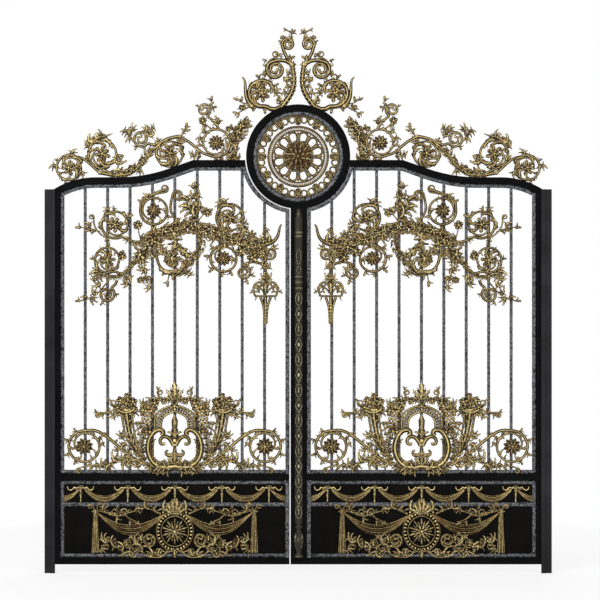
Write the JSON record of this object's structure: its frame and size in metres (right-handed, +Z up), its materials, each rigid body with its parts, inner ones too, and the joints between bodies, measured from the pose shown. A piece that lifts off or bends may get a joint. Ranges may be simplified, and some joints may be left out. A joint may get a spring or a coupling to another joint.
{
  "type": "wrought iron driveway gate",
  "caption": "Double-leaf wrought iron driveway gate with scrollwork, a rose-window medallion on the meeting mullion, lower sheet panels and two hinge posts.",
  "frame": {"origin": "centre of the left post's foot, on the flat underside that stands on its foundation", "axes": "+Z is up, +X runs from the left post to the right post, and the leaves open towards +Y"},
  "size_m": [3.6, 0.122, 3.8852],
  "materials": {
    "satin_black": "satin black paint",
    "post_paint": "satin charcoal paint",
    "panel_black": "fine textured black paint",
    "hammered_steel": "hammered, black paint rubbed with silver",
    "antique_gold": "antique gold patina over black"
  },
  "bodies": {
    "posts": {"left_post": "post_paint", "right_post": "post_paint", "left_stop_strip": "satin_black", "right_stop_strip": "satin_black", "left_post_hinges": "satin_black", "right_post_hinges": "satin_black"},
    "left_leaf": {"left_hinge_stile": "satin_black", "left_top_rail": "satin_black", "left_rails": "satin_black", "left_ring_arc": "hammered_steel", "left_top_trim": "hammered_steel", "left_cross_trims": "hammered_steel", "left_side_trims": "hammered_steel", "left_meeting_bars": "hammered_steel", "left_bars": "hammered_steel", "left_panel_sheets": "panel_black", "left_spray": "antique_gold", "left_cartouche": "antique_gold", "left_swags": "antique_gold", "left_drapery": "antique_gold", "left_crest": "antique_gold", "left_leaf_hinges": "satin_black"},
    "right_leaf": {"right_hinge_stile": "satin_black", "right_top_rail": "satin_black", "right_rails": "satin_black", "right_ring_arc": "hammered_steel", "right_top_trim": "hammered_steel", "right_cross_trims": "hammered_steel", "right_side_trims": "hammered_steel", "right_meeting_bars": "hammered_steel", "right_bars": "hammered_steel", "right_panel_sheets": "panel_black", "right_spray": "antique_gold", "right_cartouche": "antique_gold", "right_swags": "antique_gold", "right_drapery": "antique_gold", "right_crest": "antique_gold", "right_leaf_hinges": "satin_black", "mullion": "satin_black", "centre_column": "antique_gold", "medallion_ring": "satin_black", "medallion_rim": "hammered_steel", "scroll_circle": "antique_gold", "rose_window": "antique_gold", "rosette": "antique_gold", "crown_left": "antique_gold", "crown_right": "antique_gold"}
  },
  "joints": [
    {"name": "left_leaf_swing", "type": "hinge", "parent": "posts", "child": "left_leaf", "pos_m": [0.031, 0.052, 0.3], "axis": [0, 0, 1], "range_deg": [0, 90]},
    {"name": "right_leaf_swing", "type": "hinge", "parent": "posts", "child": "right_leaf", "pos_m": [3.513, 0.052, 0.3], "axis": [0, 0, -1], "range_deg": [0, 90]}
  ]
}
